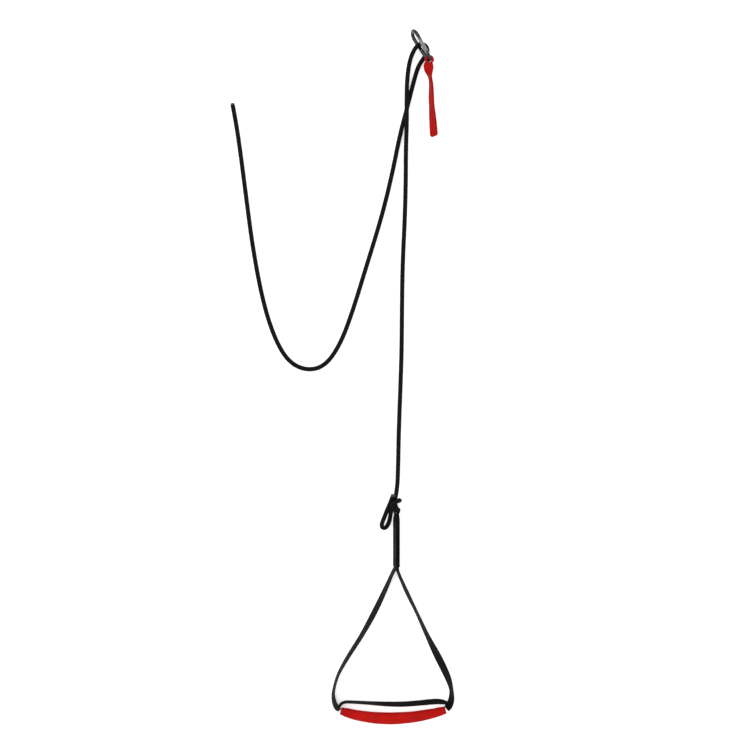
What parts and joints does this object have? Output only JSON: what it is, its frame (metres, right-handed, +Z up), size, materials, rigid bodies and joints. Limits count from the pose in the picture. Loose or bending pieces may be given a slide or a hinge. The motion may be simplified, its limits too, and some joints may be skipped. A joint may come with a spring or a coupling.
{
  "type": "shoulder pulley",
  "caption": "Rope pull for shoulder exercises: a webbing handle with a padded grip on a braided rope that runs through a sprung snap hook with an anchor strap.",
  "frame": {"origin": "centre of the handle, hook and straps seen from above, on the surface that the part lies on", "axes": "+Y from the handle to the hook along the loaded rope, +X to the right of it seen from above, +Z up from the surface"},
  "size_m": [0.3029, 0.9368, 0.0296],
  "materials": {
    "steel": "polished, plated steel",
    "spring_steel": "drawn spring wire",
    "rope": "round braided polyester, black",
    "melted_rope": "rope fibres melted together",
    "black_webbing": "flat woven webbing, black",
    "black_thread": "bonded sewing thread",
    "red_webbing": "flat woven webbing, red",
    "red_thread": "bonded sewing thread",
    "red_sleeve": "sewn textile sleeve, red",
    "foam": "soft closed-cell foam"
  },
  "bodies": {
    "hook_and_rope": {"hook_body": "steel", "gate_hinge_rivet": "steel", "rope_knot": "rope", "rope_load_run": "rope", "rope_hook_turn": "rope", "rope_free_run": "rope", "rope_tail_seal": "melted_rope", "rope_free_seal": "melted_rope"},
    "gate": {"hook_gate": "steel", "gate_latch_pin": "steel", "gate_spring": "spring_steel"},
    "plunger": {"gate_plunger": "steel"},
    "anchor_strap": {"anchor_strap": "red_webbing", "anchor_strap_tack": "red_thread"},
    "handle": {"eye_webbing": "black_webbing", "neck_stitching_upper": "black_thread", "neck_stitching_lower": "black_thread", "left_leg": "black_webbing", "right_leg": "black_webbing", "left_corner_tack": "black_thread", "right_corner_tack": "black_thread", "hand_strap": "black_webbing"},
    "grip": {"grip_cover": "red_sleeve", "grip_core": "foam", "grip_webbing": "black_webbing"}
  },
  "joints": [
    {"name": "gate_hinge", "type": "hinge", "parent": "hook_and_rope", "child": "gate", "pos_m": [0.04471, 0.4349, 0.02255], "axis": [-0.8529, -0.4632, 0.2406], "range_deg": [0, 14], "stiffness_Nm_per_rad": 0.01, "springref_deg": -20.05},
    {"name": "plunger_slide", "type": "slide", "parent": "gate", "child": "plunger", "axis": [-0.4706, 0.8818, 0.0296], "range_m": [0, 0.0001]},
    {"name": "anchor_strap_swing", "type": "hinge", "parent": "hook_and_rope", "child": "anchor_strap", "pos_m": [0.04799, 0.42612, 0.01725], "axis": [0, 0, 1], "range_deg": [-6, 33]},
    {"name": "handle_swing", "type": "hinge", "parent": "hook_and_rope", "child": "handle", "pos_m": [0.004, -0.17962, 0.0113], "axis": [0, 0, 1], "range_deg": [-4, 30]},
    {"name": "grip_swing", "type": "hinge", "parent": "handle", "child": "grip", "pos_m": [-0.0005, -0.4499, 0.0086], "axis": [-1, -0.0099, 0], "range_deg": [-12, 32]}
  ],
  "couplings": [
    {"joint": "plunger_slide", "follows": "gate_hinge", "m_per_rad": 0.0004}
  ]
}
